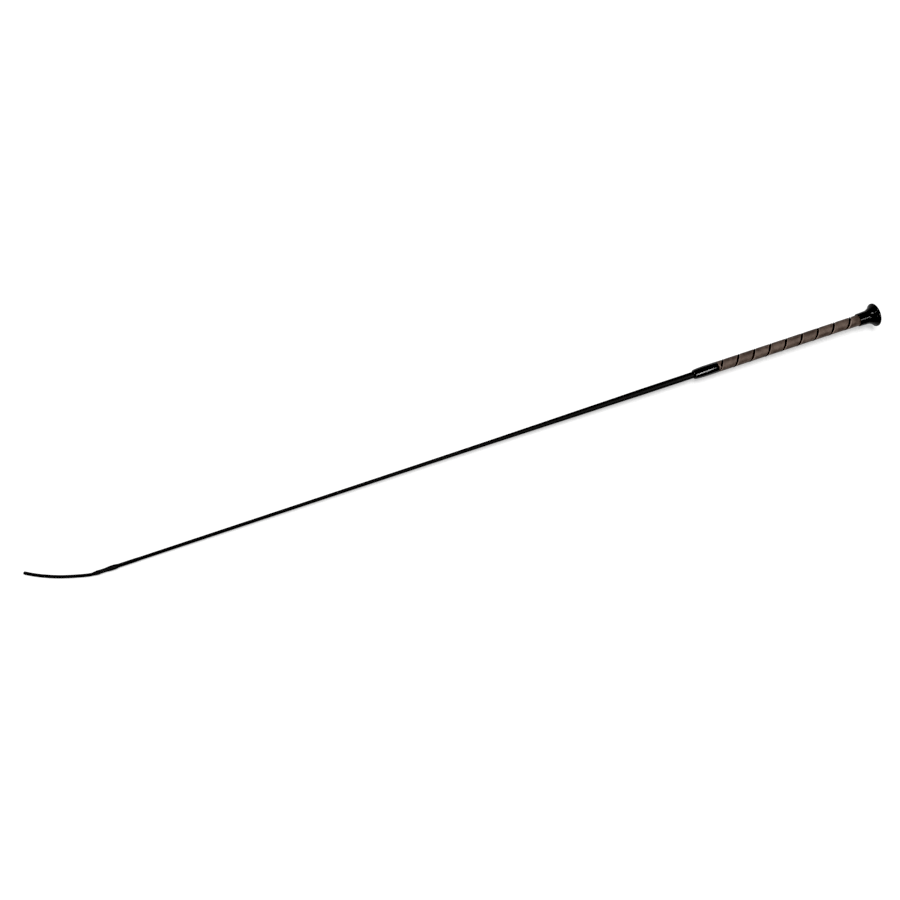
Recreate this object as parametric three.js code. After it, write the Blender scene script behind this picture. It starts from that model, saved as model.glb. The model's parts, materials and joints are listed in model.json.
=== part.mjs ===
// A 120 cm dressage whip: mushroom cap, wrapped grip, braided shaft and cord lash.
// Millimetres, +Z up. The whip lies at rest on its cap rim and its lash, with +X along it
// towards the cap and the lash curving off towards +Y on the floor.
//
// A station is a distance along the whip's axis from the cap's end face towards the lash.
// An outline is a list of [station, radius] points.

import * as THREE from 'three';

// ---- Driving dimensions ----

const CAP = {
  faceRadius: 11.5,
  rimRadius: 15.65,
  rimStation: 2.3,
  rimBack: 3.8,
  flareRadius: 15.1,
  flareStation: 12.9,
  sleeveRadius: 9.05,
  mouthRadius: 8.65,
  mouthStation: 25.4,
  boreRadius: 7.7,
  boreStart: 5,
};
// The flare is fuller than a quarter ellipse: these powers bend its two coordinates.
const FLARE_POWERS = { along: 1.6, out: 1.35 };
// How far the rim's crown stands in from its full radius, halfway round its back edge.
const RIM_ROUND = 0.15;
const DISC = { radius: 9.0, thickness: 1.0, recess: 1.2, clearance: 0.3 };
const NAIL = {
  headRadius: 3.2,
  headThickness: 1.0,
  shankRadius: 1.1,
  tipRadius: 0.2,
  length: 19,
  clearance: 0.2,
  endClearance: 1,
};

const GRIP = { start: 14, end: 222, stripRadius: 7.2, pitch: 22.2, stripeStation: 39.8 };
const GRIP_CORD_RADIUS = 0.85;
const STRIP_GAP = 0.3;
// The strip's ends stop this far short of a full half width, so no sliver is left there.
const STRIP_END_MARGIN = 1;
const TAPE = { start: 6.2, end: 13.4, radius: 7.1 };
const UNDERLAY = { start: 6.2, radius: 5.6 };
const HANDLE_TUBE = { start: 5.6, end: 236.5, radius: 4.9, bore: 4.15 };
const PLUG = { length: 27, radius: 4.0 };

const COLLAR = { start: 222.3, taperStart: 238, end: 255.6, rearRadius: 7.4, frontRadius: 5.85 };
const COLLAR_BORE = { rearRadius: 5.1, depth: 14.9, frontRadius: 4.65 };

const ROD_START = 33;
const ROD_END = 1086;
const COVER_START = 238;
const COVER_END = 1081;
const COVER_OUTLINE = [
  [COVER_START, 4.45],
  [330, 4.36],
  [373, 3.98],
  [415, 3.78],
  [457, 3.45],
  [500, 3.2],
  [543, 2.92],
  [585, 2.76],
  [640, 2.67],
  [712, 2.6],
  [800, 2.5],
  [1036, 2.5],
  [1046, 2.72],
  [COVER_END, 2.76],
];
const COVER_WALL = 0.4;
const LAYER_GAP = 0.15;
const SOCKET = { start: 1047, wall: 0.35, end: 1103.8, shrink: 0.08, rodClearance: 0.5 };
// The lash widens from the rod's seat to its full radius over this length.
const SOCKET_SHOULDER = 1;
// The rod steps down to its seat over this length.
const ROD_STEP = 1;

const BINDING = {
  start: 1069.5,
  startThickness: 0.2,
  rise: 1073,
  riseRadius: 3.5,
  bulge: 1078,
  bulgeRadius: 3.6,
  fall: 1083,
  fallRadius: 3.4,
  neck: 1086,
  neckRadius: 2.95,
  end: 1093.8,
  boreStep: 1081.4,
  floorClearance: 0.15,
};
const TAIL = {
  start: 1094.1,
  bumpStart: 1097,
  bumpEnd: 1099,
  bumpRadius: 3.2,
  endRadius: 2.6,
  end: 1103.8,
};
const THREAD_BORE = 2.45;

const LASH_RADIUS = 2.33;
const LASH_STEPS = 11;
const LASH_SIDES = 8;
// The lash's centreline on the floor: run from its exit, sideways curve, height.
const LASH_ROUTE = [
  [0, 0, 3.393],
  [5, 0.5, 3.24],
  [10, 1.4, 2.94],
  [15.3, 2.6, 2.64],
  [20.5, 3.9, 2.43],
  [25.8, 5.2, 2.35],
  [30.9, 6.6, 2.34],
  [36.1, 8.1, 2.34],
  [41.2, 9.6, 2.34],
  [46.3, 11.3, 2.34],
  [51.4, 13.1, 2.34],
  [56.4, 15, 2.34],
  [61.4, 17.1, 2.34],
  [66.4, 19.2, 2.34],
  [71.2, 21.4, 2.34],
  [76.1, 23.8, 2.34],
  [80.8, 26.3, 2.34],
  [85.6, 29, 2.34],
  [88.9, 30.9, 2.34],
];
const EXIT_GAP = 0.3;

const CAP_SIDES = 24;
const SIDES = 24;
const SMALL_SIDES = 16;
const TURN_STEPS = 20;
const CORD_SIDES = 6;

// ---- Materials ----

const GLOSS_BLACK = { color: 0x0b0b0c, roughness: 0.22, metalness: 0 };
const BRAID_BLACK = { color: 0x101011, roughness: 0.62, metalness: 0 };
const THREAD_BLACK = { color: 0x17171a, roughness: 0.5, metalness: 0 };
const TAUPE_SUEDE = { color: 0x5d5148, roughness: 0.95, metalness: 0 };
const FOAM_BLACK = { color: 0x1c1c1c, roughness: 0.9, metalness: 0 };
const TAPE_BLACK = { color: 0x202022, roughness: 0.7, metalness: 0 };
const GLASS_FIBRE = { color: 0xc9c7a6, roughness: 0.45, metalness: 0 };
const GREY_PLASTIC = { color: 0x4c4e50, roughness: 0.5, metalness: 0 };
const TURNED_WOOD = { color: 0xa8814f, roughness: 0.7, metalness: 0 };
const STEEL = { color: 0xb4b6b8, roughness: 0.35, metalness: 1 };

// ---- Shape helpers ----

function piece(name, geometry, finish) {
  const mesh = new THREE.Mesh(geometry, new THREE.MeshStandardMaterial(finish));
  mesh.name = name;
  return mesh;
}

// Turns a closed outline about the whip's axis, with a flat side down. The outline runs
// towards the cap on its outer wall and back towards the lash on its inner wall.
function turned(outline, sides) {
  const profile = outline.map(([station, radius]) => new THREE.Vector2(radius, -station));
  const geometry = new THREE.LatheGeometry(profile, sides, Math.PI / sides);
  geometry.rotateZ(-Math.PI / 2);
  return geometry;
}

// A tube from an outer and an inner outline, both listed from the cap towards the lash.
function tube(outer, inner, sides) {
  const outside = [...outer].reverse();
  return turned([...outside, ...inner, outside[0]], sides);
}

// A solid from an outer outline, listed from the cap towards the lash.
function solid(outer, sides) {
  const first = outer[0][0];
  const last = outer[outer.length - 1][0];
  return turned([[last, 0], ...[...outer].reverse(), [first, 0]], sides);
}

function shifted(outline, offset) {
  return outline.map(([station, radius]) => [station, radius + offset]);
}

// Radius of an outline at a station, between its points in straight lines.
function radiusAt(outline, station) {
  const next = Math.max(1, outline.findIndex(([end]) => end >= station));
  const [s0, r0] = outline[next - 1];
  const [s1, r1] = outline[next];
  return THREE.MathUtils.mapLinear(station, s0, s1, r0, r1);
}

// The part of an outline between two stations, with end points made for them.
function clipped(outline, start, end) {
  const inside = outline.filter(([station]) => station > start && station < end);
  return [[start, radiusAt(outline, start)], ...inside, [end, radiusAt(outline, end)]];
}

// Points of a quarter ellipse from one [station, radius] point to another. It leaves the
// first along the axis and reaches the second straight across it. Powers above 1 fill it out.
function quarterEllipse([s0, r0], [s1, r1], steps, powers = { along: 1, out: 1 }) {
  const points = [];
  for (let i = 0; i < steps; i += 1) {
    const angle = (i / steps) * (Math.PI / 2);
    const along = Math.sin(angle) ** powers.along;
    const out = 1 - Math.cos(angle) ** powers.out;
    points.push([s0 + (s1 - s0) * along, r0 + (r1 - r0) * out]);
  }
  return [...points, [s1, r1]];
}

// A body swept round the whip on the grip's left-handed helix. The section's corners are
// [offset along the axis, radius], and each ring is cut square at the grip's two ends.
function wound(section, centreStation, firstTurn, lastTurn) {
  const steps = Math.round((lastTurn - firstTurn) * TURN_STEPS);
  const corners = section.length;
  const positions = [];
  for (let i = 0; i <= steps; i += 1) {
    const turn = firstTurn + ((lastTurn - firstTurn) * i) / steps;
    const angle = -2 * Math.PI * turn;
    for (const [offset, radius] of section) {
      const free = centreStation + GRIP.pitch * turn + offset;
      const station = THREE.MathUtils.clamp(free, GRIP.start, GRIP.end - STRIP_GAP);
      positions.push(-station, radius * Math.sin(angle), radius * Math.cos(angle));
    }
  }
  const indices = [];
  for (let i = 0; i < steps; i += 1) {
    for (let j = 0; j < corners; j += 1) {
      const a = i * corners + j;
      const b = i * corners + ((j + 1) % corners);
      indices.push(a, b, b + corners, a, b + corners, a + corners);
    }
  }
  const last = steps * corners;
  for (let j = 1; j < corners - 1; j += 1) {
    indices.push(0, j + 1, j, last, last + j, last + j + 1);
  }
  const geometry = new THREE.BufferGeometry();
  geometry.setAttribute('position', new THREE.Float32BufferAttribute(positions, 3));
  geometry.setIndex(indices);
  return geometry;
}

// Turns from the stripe's first crossing on top of the grip to a station.
function turnsTo(station, centreStation) {
  return (station - centreStation) / GRIP.pitch;
}

// ---- Cap ----

function capBody() {
  const flare = quarterEllipse(
    [CAP.flareStation, CAP.sleeveRadius], [CAP.rimBack, CAP.flareRadius], 8, FLARE_POWERS);
  const edge = quarterEllipse([CAP.rimStation, CAP.rimRadius], [0, CAP.faceRadius], 5);
  const outside = [
    [CAP.mouthStation, CAP.mouthRadius],
    ...flare,
    [(CAP.rimBack + CAP.rimStation) / 2, CAP.rimRadius - RIM_ROUND],
    ...edge,
  ];
  const headHole = NAIL.headRadius + NAIL.clearance;
  const shankHole = NAIL.shankRadius + NAIL.clearance;
  const headSeat = DISC.recess + NAIL.headThickness;
  const inside = [
    [0, DISC.radius + DISC.clearance],
    [DISC.recess, DISC.radius + DISC.clearance],
    [DISC.recess, headHole],
    [headSeat, headHole],
    [headSeat, shankHole],
    [CAP.boreStart, shankHole],
    [CAP.boreStart, CAP.boreRadius],
    [CAP.mouthStation, CAP.boreRadius],
  ];
  return piece('cap_body', turned([...outside, ...inside, outside[0]], CAP_SIDES), GLOSS_BLACK);
}

function capEndDisc() {
  const back = DISC.recess - DISC.clearance / 2;
  const front = back - DISC.thickness;
  return piece('cap_end_disc', solid([[front, DISC.radius], [back, DISC.radius]], SIDES), GREY_PLASTIC);
}

function capNail() {
  const top = DISC.recess + NAIL.clearance / 2;
  const underHead = top + NAIL.headThickness - NAIL.clearance;
  const point = top + NAIL.length;
  const outline = [
    [top, NAIL.headRadius],
    [underHead, NAIL.headRadius],
    [underHead, NAIL.shankRadius],
    [point - 2 * NAIL.shankRadius, NAIL.shankRadius],
    [point, NAIL.tipRadius],
  ];
  return piece('cap_nail', solid(outline, SMALL_SIDES), STEEL);
}

// ---- Grip ----

function buttPlug() {
  const start = HANDLE_TUBE.start;
  const hole = NAIL.shankRadius + NAIL.clearance;
  const holeEnd = DISC.recess + NAIL.length + NAIL.endClearance;
  const outline = [
    [start + PLUG.length, 0],
    [start + PLUG.length, PLUG.radius],
    [start, PLUG.radius],
    [start, hole],
    [holeEnd, hole],
    [holeEnd, 0],
  ];
  return piece('butt_plug', turned(outline, SMALL_SIDES), TURNED_WOOD);
}

function straightTube(name, start, end, radius, bore, finish) {
  const geometry = tube([[start, radius], [end, radius]], [[start, bore], [end, bore]], SIDES);
  return piece(name, geometry, finish);
}

function gripLayers() {
  const tapeBore = UNDERLAY.radius + LAYER_GAP;
  return [
    straightTube('handle_tube', HANDLE_TUBE.start, HANDLE_TUBE.end, HANDLE_TUBE.radius,
      HANDLE_TUBE.bore, GREY_PLASTIC),
    straightTube('grip_underlay', UNDERLAY.start, GRIP.end, UNDERLAY.radius,
      HANDLE_TUBE.radius + LAYER_GAP, FOAM_BLACK),
    straightTube('grip_end_tape', TAPE.start, TAPE.end, TAPE.radius, tapeBore, TAPE_BLACK),
  ];
}

function gripStrip() {
  const halfWidth = GRIP.pitch / 2 - GRIP_CORD_RADIUS - STRIP_GAP;
  const under = UNDERLAY.radius + LAYER_GAP;
  const section = [
    [-halfWidth, under],
    [-halfWidth, GRIP.stripRadius],
    [halfWidth, GRIP.stripRadius],
    [halfWidth, under],
  ];
  const centre = GRIP.stripeStation + GRIP.pitch / 2;
  const narrow = halfWidth - STRIP_END_MARGIN;
  const first = turnsTo(GRIP.start - narrow, centre);
  const last = turnsTo(GRIP.end - STRIP_GAP + narrow, centre);
  return piece('grip_strip', wound(section, centre, first, last), TAUPE_SUEDE);
}

function gripCord() {
  const centreRadius = UNDERLAY.radius + LAYER_GAP + GRIP_CORD_RADIUS;
  const section = [];
  for (let i = 0; i < CORD_SIDES; i += 1) {
    const angle = (-2 * Math.PI * i) / CORD_SIDES;
    section.push([
      -GRIP_CORD_RADIUS * Math.cos(angle),
      centreRadius - GRIP_CORD_RADIUS * Math.sin(angle),
    ]);
  }
  const centre = GRIP.stripeStation;
  const first = turnsTo(GRIP.start + GRIP_CORD_RADIUS, centre);
  const last = turnsTo(GRIP.end - STRIP_GAP - GRIP_CORD_RADIUS, centre);
  return piece('grip_cord', wound(section, centre, first, last), GLOSS_BLACK);
}

function frontCollar() {
  const taper = quarterEllipse(
    [COLLAR.taperStart, COLLAR.rearRadius], [COLLAR.end, COLLAR.frontRadius], 6);
  const shelf = COLLAR.start + COLLAR_BORE.depth;
  const outer = [[COLLAR.start, COLLAR.rearRadius], ...taper];
  const inner = [
    [COLLAR.start, COLLAR_BORE.rearRadius],
    [shelf, COLLAR_BORE.rearRadius],
    [shelf, COLLAR_BORE.frontRadius],
    [COLLAR.end, COLLAR_BORE.frontRadius],
  ];
  return piece('front_collar', tube(outer, inner, SIDES), GLOSS_BLACK);
}

// ---- Shaft ----

// The rod's outline follows the cover's bore, and steps down where the lash is pushed on.
function rodOutline() {
  const inCover = COVER_WALL + LAYER_GAP;
  const inSocket = inCover + SOCKET.wall + LAYER_GAP;
  const step = SOCKET.start - ROD_STEP;
  const body = shifted(clipped(COVER_OUTLINE, COVER_START, step), -inCover);
  const seatRadius = radiusAt(COVER_OUTLINE, COVER_END) - inSocket;
  return [[ROD_START, body[0][1]], ...body, [step, seatRadius], [ROD_END, seatRadius]];
}

function coreRod() {
  return piece('core_rod', solid(rodOutline(), SMALL_SIDES), GLASS_FIBRE);
}

function shaftCover() {
  const geometry = tube(COVER_OUTLINE, shifted(COVER_OUTLINE, -COVER_WALL), SMALL_SIDES);
  return piece('shaft_cover', geometry, BRAID_BLACK);
}

// ---- Tip ----

function lashSocket() {
  const [, rodRadius] = rodOutline().pop();
  const bore = rodRadius + LAYER_GAP;
  const narrow = bore + SOCKET.wall;
  const full = LASH_RADIUS - SOCKET.shrink;
  const boreEnd = ROD_END + SOCKET.rodClearance;
  const outline = [
    [SOCKET.end, 0],
    [SOCKET.end, full],
    [COVER_END + SOCKET_SHOULDER, full],
    [COVER_END, narrow],
    [SOCKET.start, narrow],
    [SOCKET.start, bore],
    [boreEnd, bore],
    [boreEnd, 0],
  ];
  return piece('lash_socket', turned(outline, SMALL_SIDES), BRAID_BLACK);
}

function mainBinding() {
  const coverRadius = radiusAt(COVER_OUTLINE, COVER_END) + LAYER_GAP;
  const outer = [
    [BINDING.start, coverRadius + BINDING.startThickness],
    [BINDING.rise, BINDING.riseRadius],
    [BINDING.bulge, BINDING.bulgeRadius],
    [BINDING.fall, BINDING.fallRadius],
    [BINDING.neck, BINDING.neckRadius],
    [BINDING.end, BINDING.neckRadius],
  ];
  const inner = [
    [BINDING.start, coverRadius],
    [BINDING.boreStep, coverRadius],
    [BINDING.boreStep, THREAD_BORE],
    [BINDING.end, THREAD_BORE],
  ];
  return piece('main_binding', tube(outer, inner, SMALL_SIDES), THREAD_BLACK);
}

function tailBinding() {
  const outer = [
    [TAIL.start, BINDING.neckRadius],
    [TAIL.bumpStart, TAIL.bumpRadius],
    [TAIL.bumpEnd, TAIL.bumpRadius],
    [TAIL.end, TAIL.endRadius],
  ];
  const inner = [[TAIL.start, THREAD_BORE], [TAIL.end, THREAD_BORE]];
  return piece('tail_binding', tube(outer, inner, SMALL_SIDES), THREAD_BLACK);
}

// The lash's section is the octagon round its circle, with a flat side down on the floor.
function lashSection() {
  const corner = LASH_RADIUS / Math.cos(Math.PI / LASH_SIDES);
  const points = [];
  for (let i = 0; i < LASH_SIDES; i += 1) {
    const angle = (2 * Math.PI * (i + 0.5)) / LASH_SIDES;
    points.push(new THREE.Vector2(corner * Math.cos(angle), corner * Math.sin(angle)));
  }
  return new THREE.Shape(points);
}

function lash(exit) {
  const points = LASH_ROUTE.map(
    ([run, side, height]) => new THREE.Vector3(exit.x - run, side, height));
  const geometry = new THREE.ExtrudeGeometry(lashSection(), {
    steps: LASH_STEPS,
    extrudePath: new THREE.CatmullRomCurve3(points),
  });
  return piece('lash', geometry, BRAID_BLACK);
}

// ---- Assembly ----

// The whip tilts down from its cap rim to its thread bulge, which the lash that it rests on
// keeps just clear of the floor.
function restAngle() {
  const rim = CAP.rimRadius * Math.cos(Math.PI / CAP_SIDES);
  const bulge = BINDING.bulgeRadius * Math.cos(Math.PI / SMALL_SIDES) + BINDING.floorClearance;
  return Math.asin((rim - bulge) / (BINDING.bulge - CAP.rimStation));
}

const whip = new THREE.Group();
whip.add(
  capBody(), capEndDisc(), capNail(), buttPlug(), ...gripLayers(), gripStrip(), gripCord(),
  frontCollar(), coreRod(), shaftCover(), lashSocket(), mainBinding(), tailBinding());
whip.rotation.y = -restAngle();
whip.updateMatrixWorld(true);

const bounds = new THREE.Box3().setFromObject(whip, true);
const centre = bounds.getCenter(new THREE.Vector3());
whip.position.set(-centre.x, -centre.y, -bounds.min.z);
whip.updateMatrixWorld(true);

const exit = whip.localToWorld(new THREE.Vector3(-SOCKET.end - EXIT_GAP, 0, 0));
const part = new THREE.Group();
part.add(whip, lash(exit));

export default part;
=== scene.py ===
"""Looks of a 120 cm dressage whip: mushroom cap, wound grip, braided shaft, thread and lash.

A station is a distance along the whip's axis from the cap's end face towards the lash, and an
outline is a list of (station, radius) points. Both are in millimetres, as in the CAD source,
and become metres where a point is placed.
"""

import json
import math

import bpy
import numpy as np
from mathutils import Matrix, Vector


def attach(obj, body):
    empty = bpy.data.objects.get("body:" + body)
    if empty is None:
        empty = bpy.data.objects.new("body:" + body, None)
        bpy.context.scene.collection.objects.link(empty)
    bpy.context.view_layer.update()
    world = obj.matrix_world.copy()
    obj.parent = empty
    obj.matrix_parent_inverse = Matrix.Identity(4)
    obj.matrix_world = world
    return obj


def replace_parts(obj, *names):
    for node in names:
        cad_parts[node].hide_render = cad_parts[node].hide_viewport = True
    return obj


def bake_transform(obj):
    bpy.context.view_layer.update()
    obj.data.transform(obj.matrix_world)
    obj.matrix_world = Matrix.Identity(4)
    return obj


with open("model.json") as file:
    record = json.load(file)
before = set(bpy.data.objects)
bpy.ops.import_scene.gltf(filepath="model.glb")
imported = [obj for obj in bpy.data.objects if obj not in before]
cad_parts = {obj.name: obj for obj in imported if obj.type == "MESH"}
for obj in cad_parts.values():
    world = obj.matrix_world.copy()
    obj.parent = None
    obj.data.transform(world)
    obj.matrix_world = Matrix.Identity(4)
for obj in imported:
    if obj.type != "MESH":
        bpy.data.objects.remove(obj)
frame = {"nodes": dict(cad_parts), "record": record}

MM = 0.001
TAU = 2 * math.pi
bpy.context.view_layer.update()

# ---- The whip's axis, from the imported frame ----

FACE_MOUNT = frame["record"]["mounts"][0]
FACE_MOUNT_RADIUS = 10.4
AXIS = Vector(FACE_MOUNT["axis"]).normalized()
SIDE = Vector((0, 1, 0))
UP = AXIS.cross(SIDE).normalized()
CAP_CENTRE = Vector(FACE_MOUNT["pos_m"]) - UP * FACE_MOUNT_RADIUS * MM

# ---- Driving dimensions: those of the CAD source, and those of the relief laid over it ----

CAP_RIM = (2.3, 15.65)
CAP_FACE_RADIUS = 11.5
CAP_RIM_BACK = (3.8, 15.1)
CAP_SLEEVE = (12.9, 9.05)
CAP_MOUTH = (25.4, 8.65)
FLARE_POWERS = (1.6, 1.35)
CAP_BORE = 7.7
CAP_BORE_START = 5.0
NAIL_HOLE = 1.3
# The soft bead round the flare, just behind the rim.
BEAD_STATION = 5.5
BEAD_HEIGHT = 0.35
BEAD_WIDTH = 0.38
DISC_RADIUS = 9.0
DISC_GAP = 0.3
DISC_RECESS = 1.2
# The inlay disc has turned rings at this spacing.
DISC_RING_PITCH = 0.9

GRIP_START = 14.0
GRIP_END = 221.7
STRIP_RADIUS = 7.2
STRIP_UNDER = 5.8
GRIP_PITCH = 22.2
STRIPE_STATION = 39.8
GRIP_CORD_RADIUS = 0.85
GRIP_CORD_SIDES = 14
STRIP_GAP = 0.3
# How far the strip's soft edges have drawn back from their cut width, and their bevel.
STRIP_WEAR = 0.3
STRIP_BEVEL = 1.1
STRIP_BEVEL_DEPTH = 0.42
# The strip's edge is pale over this width: the skived edge's own colour, with a painted highlight on the
# lash side where the bevel catches the light, so it is paler there than on the cap side.
PALE_WIDTH = 0.9
PALE_CAP_SIDE = 0.35
# Where the strip's end is lapped over its last turn: (angle, station) along the lap's edge.
REAR_OVERLAP = [(-180, 49.2), (-75, 42.7), (-53, 41.3), (10, 37.9), (30, 34.5), (53, 28.7), (75, 22)]
REAR_OVERLAP_END = 20.0
FRONT_OVERLAP = [(24, 221.5), (-9.5, 218.9), (-42, 221.4)]
OVERLAP_UNDER = 7.1
OVERLAP_TOP = 7.5
# The lap thins out at its edge: (distance in from it, share of thickness, paleness).
OVERLAP_ROWS = ((0.0, 0.45, 1.0), (0.25, 0.8, 1.0), (0.7, 1.0, 0.3), (1.2, 1.0, 0.0))
# One column of points for each of these steps round the grip, in degrees.
OVERLAP_STEP = 2.5

COLLAR_START = 222.3
COLLAR_TAPER_START = 238.0
COLLAR_END = 255.6
COLLAR_REAR_RADIUS = 7.4
COLLAR_FRONT_RADIUS = 5.85
COLLAR_REAR_BORE = 5.1
COLLAR_SHELF = 237.2
COLLAR_BORE = 4.65

COVER_OUTLINE = [
    (238, 4.45), (330, 4.36), (373, 3.98), (415, 3.78), (457, 3.45), (500, 3.2), (543, 2.92),
    (585, 2.76), (640, 2.67), (712, 2.6), (800, 2.5), (1036, 2.5), (1046, 2.72), (1081, 2.76),
]
# A braid's relief is the height of its yarns, and its carriers are its number of yarns.
SHAFT_RELIEF = 0.2
SHAFT_CARRIERS = 12
# The length along the shaft of one crossing of its braid, where the shaft is thickest.
SHAFT_LAY = 3.1

BINDING_OUTLINE = [
    (1069.5, 3.1), (1071.2, 3.25), (1073, 3.5), (1076, 3.62), (1080, 3.6), (1083, 3.42),
    (1085.5, 3.05), (1088, 2.95), (1093.8, 2.98),
]
TAIL_END = 1103.8
TAIL_OUTLINE = [(1094.1, 3.0), (1096.5, 3.2), (1099, 3.2), (1101, 2.9), (TAIL_END, 2.62)]
BINDING_BORE = 2.9
TAIL_BORE = 2.45
# The width of one turn of the thread, and how finely its ridges are drawn.
BINDING_THREAD = 0.55
TAIL_THREAD = 0.5
RINGS_PER_TURN = 7
THREAD_SIDES = 56

LASH_RADIUS = 2.33
LASH_RELIEF = 0.18
LASH_CARRIERS = 8
LASH_LAY = 2.3
# The cut end's yarns draw in by this share of the radius, over this length.
LASH_END_TAPER = 0.18
LASH_END_LENGTH = 0.5
# The cord starts this far inside the second binding, so that no gap shows at its exit.
LASH_ROOT = 0.8
# The cord's direction at a point is measured this far to each side of it.
LASH_SPAN = 0.6
EXIT_GAP = 0.3
# The lash's run from its exit, its sideways curve and its height, in metres.
LASH_ROUTE = [
    (0, 0, 0.003393), (0.005, 0.0005, 0.00324), (0.01, 0.0014, 0.00294), (0.0153, 0.0026, 0.00264),
    (0.0205, 0.0039, 0.00243), (0.0258, 0.0052, 0.00235), (0.0309, 0.0066, 0.00234),
    (0.0361, 0.0081, 0.00234), (0.0412, 0.0096, 0.00234), (0.0463, 0.0113, 0.00234),
    (0.0514, 0.0131, 0.00234), (0.0564, 0.015, 0.00234), (0.0614, 0.0171, 0.00234),
    (0.0664, 0.0192, 0.00234), (0.0712, 0.0214, 0.00234), (0.0761, 0.0238, 0.00234),
    (0.0808, 0.0263, 0.00234), (0.0856, 0.029, 0.00234), (0.0889, 0.0309, 0.00234),
]


def at(station, radius, angle=0.0):
    """The point at a station, a radius and an angle from the top towards +Y, in metres."""
    out = UP * math.cos(angle) + SIDE * math.sin(angle)
    return CAP_CENTRE - AXIS * station * MM + out * radius * MM


def radius_at(outline, station):
    return float(np.interp(station, [s for s, _ in outline], [r for _, r in outline]))


LASH_EXIT = at(TAIL_END + EXIT_GAP, 0)

# ---- Camera ----

WHIP_TURN = math.radians(18.37)
CAMERA_HEIGHT = 1.165
CAMERA_STATION = 595.6
CAMERA_SIDE = 7.1
CAMERA_LENS = 34.5


def make_camera():
    data = bpy.data.cameras.new("camera")
    data.sensor_width = 36
    data.lens = CAMERA_LENS
    camera = bpy.data.objects.new("camera", data)
    below = at(CAMERA_STATION, 0)
    camera.location = (below.x, CAMERA_SIDE * MM, CAMERA_HEIGHT)
    camera.rotation_euler = (0, 0, -WHIP_TURN)
    bpy.context.scene.collection.objects.link(camera)
    bpy.context.scene.camera = camera


make_camera()

# ---- Materials ----


class Look:
    """A principled material with a few node helpers, all in object coordinates."""

    def __init__(self, name, roughness, metallic=0.0, specular=0.5, tint=(1, 1, 1)):
        self.material = bpy.data.materials.new(name)
        self.material.use_nodes = True
        self.tree = self.material.node_tree
        self.shader = self.tree.nodes["Principled BSDF"]
        self.shader.inputs["Roughness"].default_value = roughness
        self.shader.inputs["Metallic"].default_value = metallic
        self.shader.inputs["Specular IOR Level"].default_value = specular
        self.shader.inputs["Specular Tint"].default_value = (*tint, 1)
        self.where = self.tree.nodes.new("ShaderNodeTexCoord").outputs["Object"]
        self.height = None

    def node(self, kind, **values):
        made = self.tree.nodes.new(kind)
        for key, value in values.items():
            setattr(made, key, value)
        return made

    def link(self, source, target):
        self.tree.links.new(source, target)

    def noise(self, scale, detail=3.0, roughness=0.5, stretch=(1, 1, 1)):
        mapping = self.node("ShaderNodeMapping")
        mapping.inputs["Scale"].default_value = stretch
        texture = self.node("ShaderNodeTexNoise")
        texture.inputs["Scale"].default_value = scale
        texture.inputs["Detail"].default_value = detail
        texture.inputs["Roughness"].default_value = roughness
        self.link(self.where, mapping.inputs["Vector"])
        self.link(mapping.outputs["Vector"], texture.inputs["Vector"])
        return texture.outputs["Fac"]

    def ramp(self, source, stops):
        ramp = self.node("ShaderNodeValToRGB")
        elements = ramp.color_ramp.elements
        for position, _ in stops[2:]:
            elements.new(position)
        for element, (position, colour) in zip(elements, stops):
            element.position = position
            element.color = (*colour, 1)
        self.link(source, ramp.inputs["Fac"])
        return ramp.outputs["Color"]

    def mix(self, factor, first, second):
        mix = self.node("ShaderNodeMix", data_type="RGBA")
        for value, target in ((factor, mix.inputs[0]), (first, mix.inputs[6]), (second, mix.inputs[7])):
            if isinstance(value, tuple):
                target.default_value = (*value, 1)
            else:
                self.link(value, target)
        return mix.outputs[2]

    def maths(self, operation, first, second):
        maths = self.node("ShaderNodeMath", operation=operation)
        for value, target in ((first, maths.inputs[0]), (second, maths.inputs[1])):
            if isinstance(value, (int, float)):
                target.default_value = value
            else:
                self.link(value, target)
        return maths.outputs[0]

    def attribute(self, name):
        return self.node("ShaderNodeAttribute", attribute_name=name).outputs["Fac"]

    def colour(self, source):
        self.link(source, self.shader.inputs["Base Color"])

    def roughness(self, source, low, high):
        spread = self.node("ShaderNodeMapRange")
        spread.inputs["To Min"].default_value = low
        spread.inputs["To Max"].default_value = high
        self.link(source, spread.inputs["Value"])
        self.link(spread.outputs["Result"], self.shader.inputs["Roughness"])

    def bump(self, source, distance, strength=1.0):
        bump = self.node("ShaderNodeBump")
        bump.inputs["Distance"].default_value = distance
        bump.inputs["Strength"].default_value = strength
        self.link(source, bump.inputs["Height"])
        if self.height is not None:
            self.link(self.height, bump.inputs["Normal"])
        self.height = bump.outputs["Normal"]
        self.link(self.height, self.shader.inputs["Normal"])


def moulded_plastic(name, dark, light, roughness, specular):
    """Glossy moulded plastic: faint flow marks, handling haze and a few fine scuffs."""
    look = Look(name, roughness, specular=specular)
    haze = look.noise(260, 4, 0.6)
    scuffs = look.noise(1500, 2, 0.5, (0.25, 1, 1))
    look.colour(look.ramp(haze, [(0.35, dark), (0.7, light)]))
    look.roughness(haze, roughness * 0.85, roughness * 1.25)
    look.bump(look.noise(120, 1), 0.000003, 0.3)
    look.bump(scuffs, 0.0000003, 0.4)
    return look.material


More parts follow.
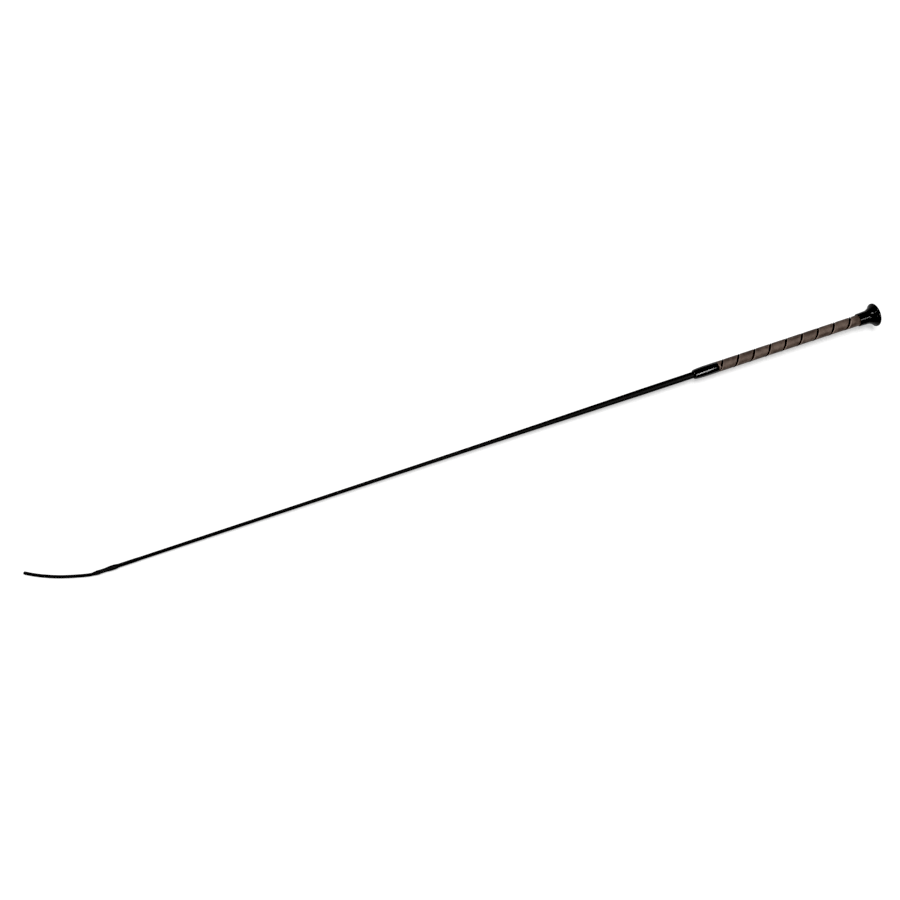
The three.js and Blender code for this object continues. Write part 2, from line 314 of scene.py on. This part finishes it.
def braided_yarn(name, dark, light, roughness):
    """Black filament yarn: painted shade darkens it in the grooves between yarns, fine filaments, a few
    pale specks of wear.
    """
    look = Look(name, roughness, specular=0.14)
    crown = look.attribute("crown")
    filaments = look.noise(5200, 2, 0.6, (0.35, 1, 1))
    patches = look.noise(130, 3)
    # Painted shade: the colour darkens with the yarn's crown height, so the grooves between yarns are dark;
    # the patches are wear on the crowns.
    crown_shade_and_wear = look.maths("MULTIPLY", crown, patches)
    look.colour(look.ramp(crown_shade_and_wear, [(0.1, dark), (0.75, light)]))
    look.roughness(filaments, roughness * 0.8, min(1.0, roughness * 1.25))
    look.bump(filaments, 0.00006, 0.5)
    return look.material


def suede():
    """Napped taupe microfibre with paler skived edges, a painted highlight along their lash side, and
    rubbed, uneven tone.
    """
    look = Look("grip_suede", 0.6, specular=0.6, tint=(1, 0.8, 0.68))
    blotches = look.noise(130, 5, 0.65)
    nap = look.noise(900, 4, 0.7)
    fibres = look.noise(4200, 3, 0.7, (0.5, 1, 1))
    ground = look.ramp(blotches, [(0.4, (0.022, 0.0135, 0.011)), (0.6, (0.080, 0.057, 0.046))])
    rubbed = look.mix(nap, (0.043, 0.0285, 0.022), (0.071, 0.049, 0.0385))
    body = look.mix(look.maths("MULTIPLY", nap, 0.3), ground, rubbed)
    # The edge attribute pales the strip's edges: partly the skived edge's own colour, partly a painted
    # highlight where the bevel on the lash side catches the light.
    edge = look.maths("MULTIPLY", look.attribute("edge"), look.maths("ADD", nap, 0.45))
    look.colour(look.mix(edge, body, (0.34, 0.26, 0.22)))
    look.roughness(blotches, 0.48, 0.7)
    look.bump(nap, 0.00018, 0.6)
    look.bump(fibres, 0.00008, 0.6)
    return look.material


def wound_thread():
    """Waxed black thread: painted shade darkens the groove between turns, so each turn is paler on its
    crown, where it also shows patches of wear, and its twist is fine relief.
    """
    look = Look("binding_thread", 0.5, specular=0.2)
    crown = look.attribute("crown")
    twist = look.noise(3600, 2, 0.5, (1, 0.4, 0.4))
    # Painted shade: the colour darkens with the thread's crown height, so the grooves between turns are
    # dark; the noise patches are wear on the crowns.
    crown_shade_and_wear = look.maths("MULTIPLY", crown, look.noise(300, 3))
    look.colour(look.ramp(crown_shade_and_wear, [(0.1, (0.002, 0.002, 0.002)), (0.7, (0.010, 0.0095, 0.010))]))
    look.roughness(twist, 0.4, 0.65)
    look.bump(twist, 0.00005, 0.5)
    return look.material


def grained(name, dark, light, roughness, scale, relief, stretch=(1, 1, 1), metallic=0.0):
    """A plain procedural material for the pieces inside: grain, tone and fine relief."""
    look = Look(name, roughness, metallic=metallic)
    grain = look.noise(scale, 4, 0.6, stretch)
    look.colour(look.ramp(grain, [(0.3, dark), (0.7, light)]))
    look.roughness(grain, roughness * 0.8, min(1.0, roughness * 1.2))
    look.bump(grain, relief, 0.5)
    return look.material


CAP_PLASTIC = moulded_plastic("cap_plastic", (0.002, 0.0018, 0.0017), (0.006, 0.0052, 0.005), 0.21, 0.12)
COLLAR_PLASTIC = moulded_plastic("collar_plastic", (0.002, 0.002, 0.002), (0.005, 0.005, 0.005), 0.19, 0.42)
PIPING = moulded_plastic("grip_piping", (0.002, 0.0013, 0.001), (0.005, 0.0032, 0.0024), 0.38, 0.05)
SHAFT_BRAID = braided_yarn("shaft_braid", (0.003, 0.0029, 0.0029), (0.012, 0.0117, 0.0115), 0.55)
LASH_BRAID = braided_yarn("lash_braid", (0.003, 0.0029, 0.0029), (0.012, 0.0117, 0.0115), 0.6)
SUEDE = suede()
THREAD = wound_thread()
DISC_PLASTIC = grained("disc_plastic", (0.012, 0.012, 0.013), (0.03, 0.03, 0.032), 0.4, 500, 3e-5)
INNER_LOOKS = {
    "cap_nail": grained(
        "nail_steel", (0.5, 0.5, 0.51), (0.75, 0.75, 0.76), 0.3, 900, 2e-5, (0.1, 1, 1), 1.0),
    "butt_plug": grained(
        "plug_wood", (0.33, 0.2, 0.1), (0.6, 0.42, 0.25), 0.7, 700, 1e-4, (0.08, 1, 1)),
    "handle_tube": grained(
        "tube_plastic", (0.03, 0.03, 0.033), (0.06, 0.06, 0.064), 0.5, 300, 3e-5),
    "grip_underlay": grained(
        "underlay_foam", (0.01, 0.01, 0.01), (0.03, 0.03, 0.03), 0.9, 1600, 2e-4),
    "grip_end_tape": grained(
        "tape", (0.012, 0.012, 0.014), (0.035, 0.035, 0.038), 0.7, 2400, 8e-5, (1, 0.2, 1)),
    "core_rod": grained(
        "glass_fibre", (0.42, 0.4, 0.26), (0.66, 0.64, 0.48), 0.45, 900, 3e-5, (0.02, 1, 1)),
}

# ---- Mesh helpers ----


def make_piece(name, points, faces, material, body="whip", attributes=()):
    mesh = bpy.data.meshes.new(name)
    mesh.from_pydata([tuple(p) for p in points], [], faces)
    mesh.validate()
    mesh.polygons.foreach_set("use_smooth", [True] * len(mesh.polygons))
    for key, values in attributes:
        layer = mesh.attributes.new(key, "FLOAT", "POINT")
        layer.data.foreach_set("value", values)
    mesh.materials.append(material)
    piece = bpy.data.objects.new(name, mesh)
    bpy.context.scene.collection.objects.link(piece)
    if body:
        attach(piece, body)
    return piece


def arc(start, end, steps, first="along", powers=(1, 1)):
    """A quarter ellipse between two (station, radius) points, leaving the first one along the
    axis, or across it. Powers above 1 fill it out."""
    points = []
    for i in range(steps + 1):
        turn = i / steps * math.pi / 2
        a, b = math.sin(turn) ** powers[0], 1 - abs(math.cos(turn)) ** powers[1]
        if first == "across":
            a, b = b, a
        points.append((start[0] + (end[0] - start[0]) * a, start[1] + (end[1] - start[1]) * b))
    return points


def revolve(outline, segments):
    """Points and faces of a closed outline turned about the whip's axis. The outline runs
    towards the cap on its outer wall."""
    points = [at(s, r, TAU * k / segments) for k in range(segments) for s, r in outline]
    count = len(outline)
    faces = []
    for k in range(segments):
        here, there = k * count, (k + 1) % segments * count
        for i in range(count):
            j = (i + 1) % count
            faces.append((here + i, there + i, there + j, here + j))
    return points, faces


def smooth_line(points, steps):
    """A Catmull-Rom line through points, with steps pieces between each two."""
    p = [Vector(q) for q in points]
    p = [2 * p[0] - p[1], *p, 2 * p[-1] - p[-2]]
    line = []
    for i in range(1, len(p) - 2):
        for k in range(steps):
            t = k / steps
            line.append(0.5 * (
                2 * p[i] + (p[i + 1] - p[i - 1]) * t
                + (2 * p[i - 1] - 5 * p[i] + 4 * p[i + 1] - p[i + 2]) * t * t
                + (3 * p[i] - p[i - 1] - 3 * p[i + 1] + p[i + 2]) * t * t * t))
    return [*line, p[-2]]


# ---- Braid ----


def float_height(p, q, fineness):
    """Height, 0 to 1, of a two-over two-under braid at a crossing of its fine lattice."""
    best = 0.0
    for i in {p // fineness, (p - 1) // fineness}:
        for j in {q // fineness, (q - 1) // fineness}:
            x, y = p / fineness - i, q / fineness - j
            if not (0 <= x <= 1 and 0 <= y <= 1):
                continue
            phase = (i - j) % 4
            if phase < 2:
                across, along = x, ((1 - phase) + y) / 2
            else:
                across, along = y, ((phase - 2) + x) / 2
            bow = math.sqrt(max(0.0, 4 * across * (1 - across)))
            best = max(best, bow * max(0.0, 4 * along * (1 - along)) ** 0.4)
    return best


def braid(length, lay, carriers, fineness, place, relief):
    """Points, faces and yarn heights of a braided tube. lay(distance) is the length along the
    tube of one crossing, and place(distance, angle, lift) gives a point."""
    around = carriers * fineness
    distances = [0.0]
    while distances[-1] < length:
        distances.append(distances[-1] + lay(distances[-1]) / (2 * fineness))
    scale = length / distances[-1]
    period = 4 * fineness
    table = [[float_height(p, q, fineness) for q in range(period)] for p in range(period)]
    points, heights = [], []
    for k, distance in enumerate(distances):
        for j in range(around):
            turn = 2 * j + k % 2
            p, q = (k + turn) // 2, (k - turn) // 2
            height = table[p % period][q % period]
            points.append(place(distance * scale, math.pi * turn / around, relief * (height - 0.6)))
            heights.append(height)
    faces = []
    for k in range(len(distances) - 2):
        for j in range(around):
            side = j if k % 2 == 0 else (j + 1) % around
            here = k * around + j
            left = (k + 1) * around + (side - 1) % around
            right = (k + 1) * around + side
            faces.append((here, right, here + 2 * around, left))
    close_zigzag(faces, around, 0, 1, False)
    close_zigzag(faces, around, len(distances) - 1, -1, True)
    return points, faces, heights


def close_zigzag(faces, around, ring, step, last):
    """Closes a braid's zigzag end: triangles to its end ring, then one cap face."""
    for j in range(around):
        a = ring * around + j
        b = ring * around + (j + 1) % around
        inner = (ring + step) * around + (j if ring % 2 == 0 else (j + 1) % around)
        faces.append((a, inner, b) if last else (a, b, inner))
    cap = [ring * around + j for j in range(around)]
    faces.append(cap if last else cap[::-1])


def shaft_cover():
    start, end = COVER_OUTLINE[0][0], COVER_OUTLINE[-1][0]
    full = COVER_OUTLINE[0][1]

    def place(distance, angle, lift):
        station = start + distance
        return at(station, radius_at(COVER_OUTLINE, station) + lift, -angle)

    def lay(distance):
        return SHAFT_LAY * math.sqrt(radius_at(COVER_OUTLINE, start + distance) / full)

    points, faces, heights = braid(end - start, lay, SHAFT_CARRIERS, 3, place, SHAFT_RELIEF)
    piece = make_piece("shaft_braid", points, faces, SHAFT_BRAID,
                       attributes=[("crown", heights)])
    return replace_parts(piece, "shaft_cover")


# ---- Lash ----

LASH_LINE = smooth_line([(LASH_EXIT.x - run, side, height) for run, side, height in LASH_ROUTE], 6)


def along_lash():
    """Distances along the lash's line, and its points, as arrays in metres."""
    line = np.array(LASH_LINE)
    steps = np.linalg.norm(np.diff(line, axis=0), axis=1)
    return np.concatenate([[0], np.cumsum(steps)]), line


def lash():
    distances, line = along_lash()
    length = distances[-1] / MM

    def centre(distance):
        if distance < 0:
            return LASH_EXIT - AXIS * distance * MM
        return Vector([np.interp(distance * MM, distances, line[:, k]) for k in range(3)])

    frames = {}

    def frame_at(distance):
        if distance not in frames:
            before, after = centre(distance - LASH_SPAN), centre(distance + LASH_SPAN)
            ahead = (after - before).normalized()
            side = Vector((0, 0, 1)).cross(ahead).normalized()
            frames[distance] = (centre(distance), side, ahead.cross(side))
        return frames[distance]

    def place(distance, angle, lift):
        distance -= LASH_ROOT
        middle, side, up = frame_at(distance)
        end = length - distance
        taper = LASH_END_TAPER * math.exp(-(end / LASH_END_LENGTH) ** 2)
        radius = (LASH_RADIUS - 0.01 + lift) * (1 - taper)
        return middle + (side * math.sin(angle) + up * math.cos(angle)) * radius * MM

    points, faces, heights = braid(
        length + LASH_ROOT, lambda _: LASH_LAY, LASH_CARRIERS, 4, place, LASH_RELIEF)
    piece = make_piece("lash_cord", points, faces, LASH_BRAID, body=None,
                       attributes=[("crown", heights)])
    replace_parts(piece, "lash")
    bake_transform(piece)
    return piece


lash()
shaft_cover()

# ---- Cap ----


def beaded(outline):
    """The outline with a soft raised bead round the flare, just behind the rim."""
    made = []
    for station, radius in outline:
        lift = BEAD_HEIGHT * math.exp(-((station - BEAD_STATION) / BEAD_WIDTH) ** 2)
        made.append((station, radius + lift))
    return made


def cap():
    flare = beaded(arc(CAP_SLEEVE, CAP_RIM_BACK, 60, powers=FLARE_POWERS))
    back = arc(CAP_RIM_BACK, CAP_RIM, 6, "across")
    edge = arc(CAP_RIM, (0, CAP_FACE_RADIUS), 14)
    mouth = arc((CAP_MOUTH[0], CAP_BORE + 0.5), (CAP_MOUTH[0] - 0.5, CAP_MOUTH[1]), 5, "across")
    sleeve = [(CAP_MOUTH[0] - 2, CAP_MOUTH[1] + 0.03), (CAP_SLEEVE[0] + 4, CAP_SLEEVE[1] - 0.06)]
    hole = DISC_RADIUS + DISC_GAP
    inside = [
        (0.0, hole + 0.25), (0.25, hole), (DISC_RECESS, hole), (DISC_RECESS, NAIL_HOLE),
        (CAP_BORE_START, NAIL_HOLE), (CAP_BORE_START, CAP_BORE), (CAP_MOUTH[0] - 0.4, CAP_BORE),
    ]
    outline = [*mouth, *sleeve, *flare, *back[1:], *edge[1:], *inside]
    points, faces = revolve(outline, 144)
    piece = make_piece("cap", points, faces, CAP_PLASTIC)
    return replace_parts(piece, "cap_body")


def cap_disc():
    back = DISC_RECESS - 0.15
    outline = [(back, 0.05), (back, DISC_RADIUS), (0.35, DISC_RADIUS), (0.1, DISC_RADIUS - 0.25)]
    for ring in np.arange(DISC_RADIUS - DISC_RING_PITCH, 0.6, -DISC_RING_PITCH):
        outline += [(0.1, ring + 0.2), (0.16, ring + 0.1), (0.16, ring), (0.1, ring - 0.1)]
    outline.append((0.1, 0.05))
    points, faces = revolve(outline, 96)
    piece = make_piece("cap_disc", points, faces, DISC_PLASTIC)
    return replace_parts(piece, "cap_end_disc")


def collar():
    shoulder = (COLLAR_END - 0.5, COLLAR_FRONT_RADIUS + 0.12)
    taper = arc((COLLAR_TAPER_START, COLLAR_REAR_RADIUS), shoulder, 24)
    nose = arc(shoulder, (COLLAR_END, COLLAR_FRONT_RADIUS - 0.4), 5)
    lip = [
        (COLLAR_START, COLLAR_REAR_RADIUS - 0.35), (COLLAR_START + 0.1, COLLAR_REAR_RADIUS - 0.1),
        (COLLAR_START + 0.35, COLLAR_REAR_RADIUS),
    ]
    outer = [*lip, *taper, *nose[1:]]
    inner = [
        (COLLAR_START, COLLAR_REAR_BORE), (COLLAR_SHELF, COLLAR_REAR_BORE),
        (COLLAR_SHELF, COLLAR_BORE), (COLLAR_END, COLLAR_BORE),
    ]
    points, faces = revolve([*outer[::-1], *inner], 128)
    piece = make_piece("collar", points, faces, COLLAR_PLASTIC)
    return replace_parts(piece, "front_collar")


cap()
cap_disc()
collar()

# ---- Grip ----


def wound_band(section, centre, first, last, turn_steps, wobble):
    """Points and faces of a closed section swept round the grip's left-handed helix, cut
    square at the grip's ends. wobble(turn, offset) moves a point (along, outwards)."""
    steps = round((last - first) * turn_steps)
    corners = len(section)
    points, faces = [], []
    for i in range(steps + 1):
        turn = first + (last - first) * i / steps
        for offset, radius in section:
            shift, lift = wobble(turn, offset)
            station = centre + GRIP_PITCH * turn + offset + shift
            station = min(max(station, GRIP_START), GRIP_END)
            points.append(at(station, radius + lift, -TAU * turn))
    for i in range(steps):
        for j in range(corners):
            a, b = i * corners + j, i * corners + (j + 1) % corners
            faces.append((a, a + corners, b + corners, b))
    faces.append(list(range(corners)))
    faces.append([steps * corners + j for j in range(corners)][::-1])
    return points, faces


def ripple(turn, seed, size):
    """A smooth, repeatable unevenness along a wound piece."""
    waves = ((3.1, 0.5), (7.7, 0.3), (17.3, 0.2))
    total = 0.0
    for k, (rate, share) in enumerate(waves):
        total += share * math.sin(rate * turn * 2 + seed * (k + 1))
    return size * total


def strip():
    half = GRIP_PITCH / 2 - GRIP_CORD_RADIUS - STRIP_GAP - STRIP_WEAR
    top = []
    for x in np.linspace(-half, half, 25):
        edge = min(1.0, (half - abs(x)) / STRIP_BEVEL)
        top.append((float(x), STRIP_RADIUS - STRIP_BEVEL_DEPTH * (1 - edge) ** 2))
    section = [(-half + 0.1, STRIP_UNDER), *top, (half - 0.1, STRIP_UNDER)]
    centre = STRIPE_STATION + GRIP_PITCH / 2
    narrow = half - 1

    def wobble(turn, offset):
        if offset < 0:
            return ripple(turn, 1.7, 0.16), 0.0
        return ripple(turn, 4.2, 0.16), 0.0

    first = (GRIP_START - narrow - centre) / GRIP_PITCH
    last = (GRIP_END + narrow - centre) / GRIP_PITCH
    points, faces = wound_band(section, centre, first, last, 72, wobble)
    # Edge paleness of each turn: the skived edge's colour on both sides, with a painted highlight making
    # the lash side paler.
    share = []
    for offset, _ in section:
        strength = 1.0 if offset > 0 else PALE_CAP_SIDE
        share.append(max(0.0, 1 - (half - abs(offset)) / PALE_WIDTH) * strength)
    pale = share * (len(points) // len(section))
    for edge_line, far in ((REAR_OVERLAP, REAR_OVERLAP_END), (FRONT_OVERLAP, GRIP_END)):
        more_points, more_faces, more_pale = overlap(edge_line, far)
        start = len(points)
        points += more_points
        faces += [[start + i for i in face] for face in more_faces]
        pale += more_pale
    piece = make_piece("grip_strip_suede", points, faces, SUEDE,
                       attributes=[("edge", pale)])
    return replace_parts(piece, "grip_strip")


def overlap(edge_line, far):
    """Points, faces and edge paleness of a lapped end: it thins out along its edge line and
    runs from there to a far station."""
    first, last = edge_line[0][0], edge_line[-1][0]
    marks = [abs(angle - first) for angle, _ in edge_line]
    towards = math.copysign(1, far - edge_line[0][1])
    thick = OVERLAP_TOP - OVERLAP_UNDER
    points, faces, pale = [], [], []
    columns = max(8, round(marks[-1] / OVERLAP_STEP))
    corners = len(OVERLAP_ROWS) + 3
    for k in range(columns + 1):
        edge = float(np.interp(marks[-1] * k / columns, marks, [s for _, s in edge_line]))
        room = abs(far - edge)
        turn = math.radians(first + (last - first) * k / columns)
        points.append(at(edge, OVERLAP_UNDER, turn))
        for distance, share, _ in OVERLAP_ROWS:
            station = edge + towards * min(distance, 0.9 * room)
            points.append(at(station, OVERLAP_UNDER + thick * share, turn))
        points += [at(far, OVERLAP_TOP, turn), at(far, OVERLAP_UNDER, turn)]
        pale += [1.0, *[p for _, _, p in OVERLAP_ROWS], 0.0, 0.0]
    for k in range(columns):
        for j in range(corners):
            a, b = k * corners + j, k * corners + (j + 1) % corners
            faces.append([a, a + corners, b + corners, b])
    faces.append(list(range(corners)))
    faces.append([columns * corners + j for j in range(corners)][::-1])
    return points, faces, pale


def piping():
    middle = STRIP_UNDER + GRIP_CORD_RADIUS
    section = []
    for k in range(GRIP_CORD_SIDES):
        turn = TAU * k / GRIP_CORD_SIDES
        section.append((GRIP_CORD_RADIUS * math.cos(turn), middle + GRIP_CORD_RADIUS * math.sin(turn)))
    first = (GRIP_START + 1 - STRIPE_STATION) / GRIP_PITCH
    last = (GRIP_END - 1 - STRIPE_STATION) / GRIP_PITCH
    points, faces = wound_band(section[::-1], STRIPE_STATION, first, last, 64,
                               lambda turn, _: (ripple(turn, 2.9, 0.08), ripple(turn, 5.1, 0.05)))
    piece = make_piece("grip_piping", points, faces, PIPING)
    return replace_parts(piece, "grip_cord")


strip()
piping()

# ---- Thread bindings ----


def wound(name, outline, bore, thread, node, seed):
    """A body of wound thread: one ridge for each turn of the thread, on an outline."""
    start, end = outline[0][0], outline[-1][0]
    rings = round((end - start) / thread * RINGS_PER_TURN)
    around = THREAD_SIDES
    points, crowns = [], []
    for k in range(rings + 1):
        station = start + (end - start) * k / rings
        radius = radius_at(outline, station)
        for j in range(around):
            angle = TAU * j / around
            stray = 0.12 * math.sin(2 * angle + station * 1.3 + seed)
            phase = (station / thread + angle / TAU + stray) % 1
            crown = math.sqrt(max(0.0, 1 - (2 * phase - 1) ** 2))
            points.append(at(station, radius - 0.5 * thread * (1 - crown), angle))
            crowns.append(crown)
    faces = []
    for k in range(rings):
        for j in range(around):
            a, b = k * around + j, k * around + (j + 1) % around
            faces.append((a, a + around, b + around, b))
    inner = len(points)
    for station in (start, end):
        points += [at(station, bore, TAU * j / around) for j in range(around)]
        crowns += [0.0] * around
    last = rings * around
    for j in range(around):
        n = (j + 1) % around
        faces.append((j, n, inner + n, inner + j))
        faces.append((last + n, last + j, inner + around + j, inner + around + n))
        faces.append((inner + j, inner + n, inner + around + n, inner + around + j))
    piece = make_piece(name, points, faces, THREAD, attributes=[("crown", crowns)])
    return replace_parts(piece, node)


wound("main_binding_thread", BINDING_OUTLINE, BINDING_BORE, BINDING_THREAD, "main_binding", 0.4)
wound("tail_binding_thread", TAIL_OUTLINE, TAIL_BORE, TAIL_THREAD, "tail_binding", 2.2)

# ---- Carried-over pieces ----


def dress_inner_pieces():
    for node, material in {**INNER_LOOKS, "lash_socket": LASH_BRAID}.items():
        holder = frame["nodes"][node]
        holder.data.materials.clear()
        holder.data.materials.append(material)


dress_inner_pieces()

# ---- Floor and light ----

FLOOR_SIZE = 4
# How bright the floor and the backdrop look, and how bright they are for what they light.
FLOOR_GLOW = 0.565
FLOOR_CAST = 0.1
WORLD_SEEN = 1.0
WORLD_CAST = 0.03
BLACK_LEVEL = 0.011
# The lamps' places, the points they face and their sizes, in metres, and their radiance.
KEY = {"place": (0, 2.0, 5.7), "target": (0, 0, 0), "size": (3.0, 3.0), "radiance": 9.8}
GRIP_LAMP = {"place": (0.9, -0.75, 2.2), "target": (0.45, 0, 0), "size": (1.5, 0.31), "radiance": 27}
STRIP_LAMP = {"place": (0.9, -0.72, 2.2), "target": (0.45, 0, 0), "size": (1.5, 0.2), "radiance": 50}
SPOT_LAMP = {"place": (-0.9, 1.45, 2.26), "target": (0.54, 0, 0), "size": (0.3, 0.3), "radiance": 110}


def seen_strength(tree, cast, seen):
    """A strength that is one value for what the surface casts and another for how it looks."""
    path = tree.nodes.new("ShaderNodeLightPath")
    strength = tree.nodes.new("ShaderNodeMapRange")
    strength.inputs["To Min"].default_value = cast
    strength.inputs["To Max"].default_value = seen
    tree.links.new(path.outputs["Is Camera Ray"], strength.inputs["Value"])
    return strength.outputs["Result"]


def make_floor():
    """A pale sweep that glows for the camera and lights the whip only faintly."""
    bpy.ops.mesh.primitive_plane_add(size=FLOOR_SIZE)
    floor = bpy.context.object
    floor.name = "floor"
    look = Look("floor", 0.9, specular=0.0)
    look.colour(look.ramp(look.noise(3), [(0.0, (0.86, 0.86, 0.86)), (1.0, (0.88, 0.88, 0.88))]))
    look.shader.inputs["Emission Color"].default_value = (1, 1, 1, 1)
    look.link(seen_strength(look.tree, FLOOR_CAST, FLOOR_GLOW), look.shader.inputs["Emission Strength"])
    floor.data.materials.append(look.material)
    return floor


def area_light(name, lit, place, target, size, radiance):
    """A rectangular lamp for the listed pieces alone. Its power follows from its area and
    radiance, so it looks equally bright wherever it stands."""
    data = bpy.data.lights.new(name, "AREA")
    data.shape = "RECTANGLE"
    data.size, data.size_y = size
    data.energy = math.pi * size[0] * size[1] * radiance
    light = bpy.data.objects.new(name, data)
    light.location = place
    light.rotation_euler = (Vector(target) - Vector(place)).to_track_quat("-Z", "Y").to_euler()
    bpy.context.scene.collection.objects.link(light)
    receivers = bpy.data.collections.new(name + "_lit")
    for piece in lit:
        receivers.objects.link(piece)
    light.light_linking.receiver_collection = receivers


def make_world():
    """A pale backdrop that lights the whip only faintly, so that its blacks stay deep."""
    world = bpy.data.worlds.new("world")
    world.use_nodes = True
    tree = world.node_tree
    background = tree.nodes["Background"]
    background.inputs["Color"].default_value = (1, 1, 1, 1)
    tree.links.new(seen_strength(tree, WORLD_CAST, WORLD_SEEN), background.inputs["Strength"])
    bpy.context.scene.world = world


def make_lights():
    """The key draws the soft shadow on the near side. The other lamps light the whip alone, as
    flagged lamps do: a thin highlight along it, and a spot on the flare."""
    pieces = [o for o in bpy.context.scene.objects if o.type == "MESH"]
    suede = [o for o in pieces if o.name == "grip_strip_suede"]
    others = [o for o in pieces if o not in suede]
    floor = make_floor()
    make_world()
    area_light("key", [floor, *suede], **KEY)
    area_light("grip", suede, **GRIP_LAMP)
    area_light("strip", others, **STRIP_LAMP)
    area_light("spot", others, **SPOT_LAMP)


make_lights()


def set_contrast():
    """A plain view with its blacks pulled down a little, as in a studio catalogue picture."""
    view = bpy.context.scene.view_settings
    view.view_transform = "Standard"
    view.use_curve_mapping = True
    view.curve_mapping.black_level = (BLACK_LEVEL,) * 3
    view.curve_mapping.update()


set_contrast()
